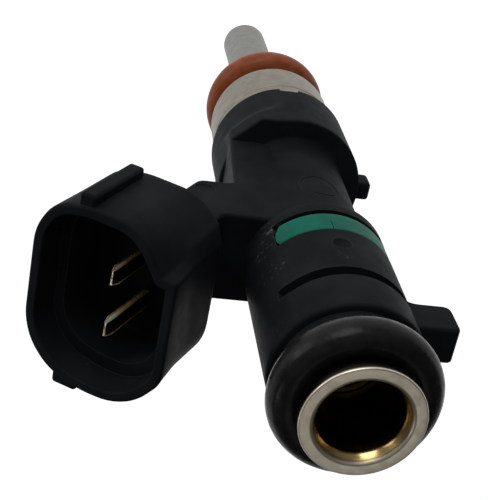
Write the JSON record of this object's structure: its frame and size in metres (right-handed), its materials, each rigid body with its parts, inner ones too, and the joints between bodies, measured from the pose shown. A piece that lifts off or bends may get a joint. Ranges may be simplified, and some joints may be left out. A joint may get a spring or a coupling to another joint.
{
  "type": "fuel injector",
  "caption": "Port fuel injector: a long slim nozzle, a solenoid pot, a moulded body with an angled blade socket, and a fuel inlet with a seal ring. The needle lifts along the axis.",
  "frame": {"origin": "centre of the spray face at the nozzle tip", "axes": "+Z along the injector's axis, from the nozzle tip towards the fuel inlet; +X towards the side that carries the electrical socket; +Y by the right-hand rule"},
  "size_m": [0.0376, 0.019, 0.088],
  "materials": {
    "moulded_plastic": "black glass-filled nylon, satin",
    "band_plastic": "green plastic, satin",
    "seal_black": "oiled black rubber",
    "seal_brown": "oiled brown fluorocarbon rubber",
    "tube_steel": "bright turned stainless steel",
    "pot_steel": "plated pressed steel",
    "nozzle_steel": "matt stainless steel",
    "retainer_plastic": "dark nylon",
    "blade_plating": "gold-coloured plating",
    "filter_brass": "pressed brass",
    "filter_nylon": "natural nylon",
    "magnet_steel": "turned soft magnetic steel",
    "stainless": "fine turned stainless steel",
    "spring_steel": "drawn spring wire",
    "ball_steel": "polished bearing steel",
    "bobbin_plastic": "dark moulded plastic",
    "copper_wire": "enamelled copper wire"
  },
  "bodies": {
    "injector": {"body_moulding": "moulded_plastic", "colour_band": "band_plastic", "rail_o_ring": "seal_black", "port_o_ring": "seal_brown", "inlet_tube": "tube_steel", "solenoid_pot": "pot_steel", "valve_body": "nozzle_steel", "port_seal_retainer": "retainer_plastic", "terminal_upper": "blade_plating", "terminal_lower": "blade_plating", "filter_ring": "filter_brass", "filter_frame": "filter_nylon", "filter_mesh": "filter_nylon", "adjusting_sleeve": "stainless", "return_spring": "spring_steel", "fixed_core": "magnet_steel", "non_magnetic_ring": "stainless", "valve_seat": "stainless", "spray_plate": "stainless", "solenoid_bobbin": "bobbin_plastic", "solenoid_winding": "copper_wire", "flux_washer": "magnet_steel"},
    "needle": {"armature": "magnet_steel", "needle_tube": "stainless", "valve_ball": "ball_steel"}
  },
  "joints": [
    {"name": "needle_lift", "type": "slide", "parent": "injector", "child": "needle", "axis": [0, 0, 1], "range_m": [0, 0.00008], "stiffness_N_per_m": 2000, "springref_m": -0.001, "deforming": ["return_spring"]}
  ]
}
